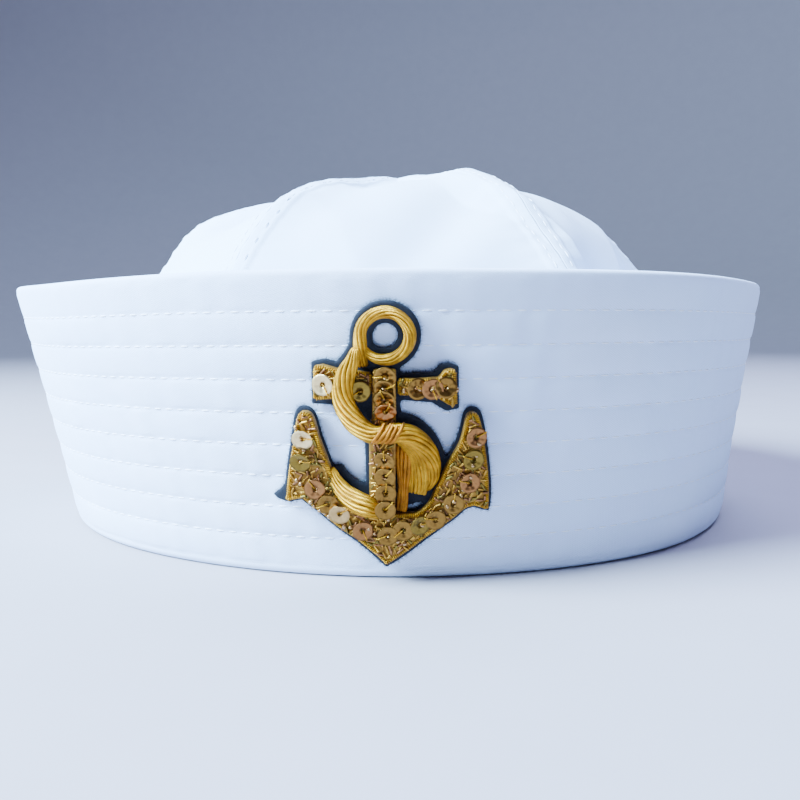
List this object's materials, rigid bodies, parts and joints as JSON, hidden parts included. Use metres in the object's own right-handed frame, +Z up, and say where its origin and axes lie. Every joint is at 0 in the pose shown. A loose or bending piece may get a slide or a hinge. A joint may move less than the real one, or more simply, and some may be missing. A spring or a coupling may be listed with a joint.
{
  "type": "sailor cap",
  "caption": "White cotton sailor cap with a soft gored crown, a quilted brim turned up all round it and an anchor badge of gold thread and sequins on navy felt.",
  "frame": {"origin": "middle of the bottom of the bounding box: the floor under the middle of the rim", "axes": "+Z up, out of the crown's top; the front with the badge faces -Y; +X is to the right in the picture"},
  "size_m": [0.2032, 0.2175, 0.0936],
  "materials": {
    "quilted_cotton": "quilted cotton twill",
    "white_cotton_twill": "cotton twill",
    "navy_felt": "wool felt",
    "gold_bullion": "gold thread over padding",
    "gold_rope_purl": "gold thread",
    "sequin_foil": "metallised foil"
  },
  "bodies": {
    "root": {"anchor_arms": "gold_bullion", "anchor_ring": "gold_rope_purl", "anchor_rope": "gold_rope_purl", "anchor_rope_coil": "gold_rope_purl", "anchor_rope_tail": "gold_rope_purl", "anchor_shank": "gold_bullion", "anchor_stock_left": "gold_bullion", "anchor_stock_right": "gold_bullion", "badge_felt": "navy_felt", "brim": "quilted_cotton", "crown_gore_1": "white_cotton_twill", "crown_gore_2": "white_cotton_twill", "crown_gore_3": "white_cotton_twill", "crown_gore_4": "white_cotton_twill", "crown_gore_5": "white_cotton_twill", "crown_gore_6": "white_cotton_twill", "sequin_01": "sequin_foil", "sequin_02": "sequin_foil", "sequin_03": "sequin_foil", "sequin_04": "sequin_foil", "sequin_05": "sequin_foil", "sequin_06": "sequin_foil", "sequin_07": "sequin_foil", "sequin_08": "sequin_foil", "sequin_09": "sequin_foil", "sequin_10": "sequin_foil", "sequin_11": "sequin_foil", "sequin_12": "sequin_foil", "sequin_13": "sequin_foil", "sequin_14": "sequin_foil", "sequin_15": "sequin_foil", "sequin_16": "sequin_foil", "sequin_17": "sequin_foil", "sequin_18": "sequin_foil", "sequin_19": "sequin_foil", "sequin_20": "sequin_foil", "sequin_21": "sequin_foil", "sequin_22": "sequin_foil", "sequin_23": "sequin_foil", "sequin_24": "sequin_foil", "sequin_25": "sequin_foil", "sequin_26": "sequin_foil", "sequin_27": "sequin_foil"}
  },
  "joints": []
}
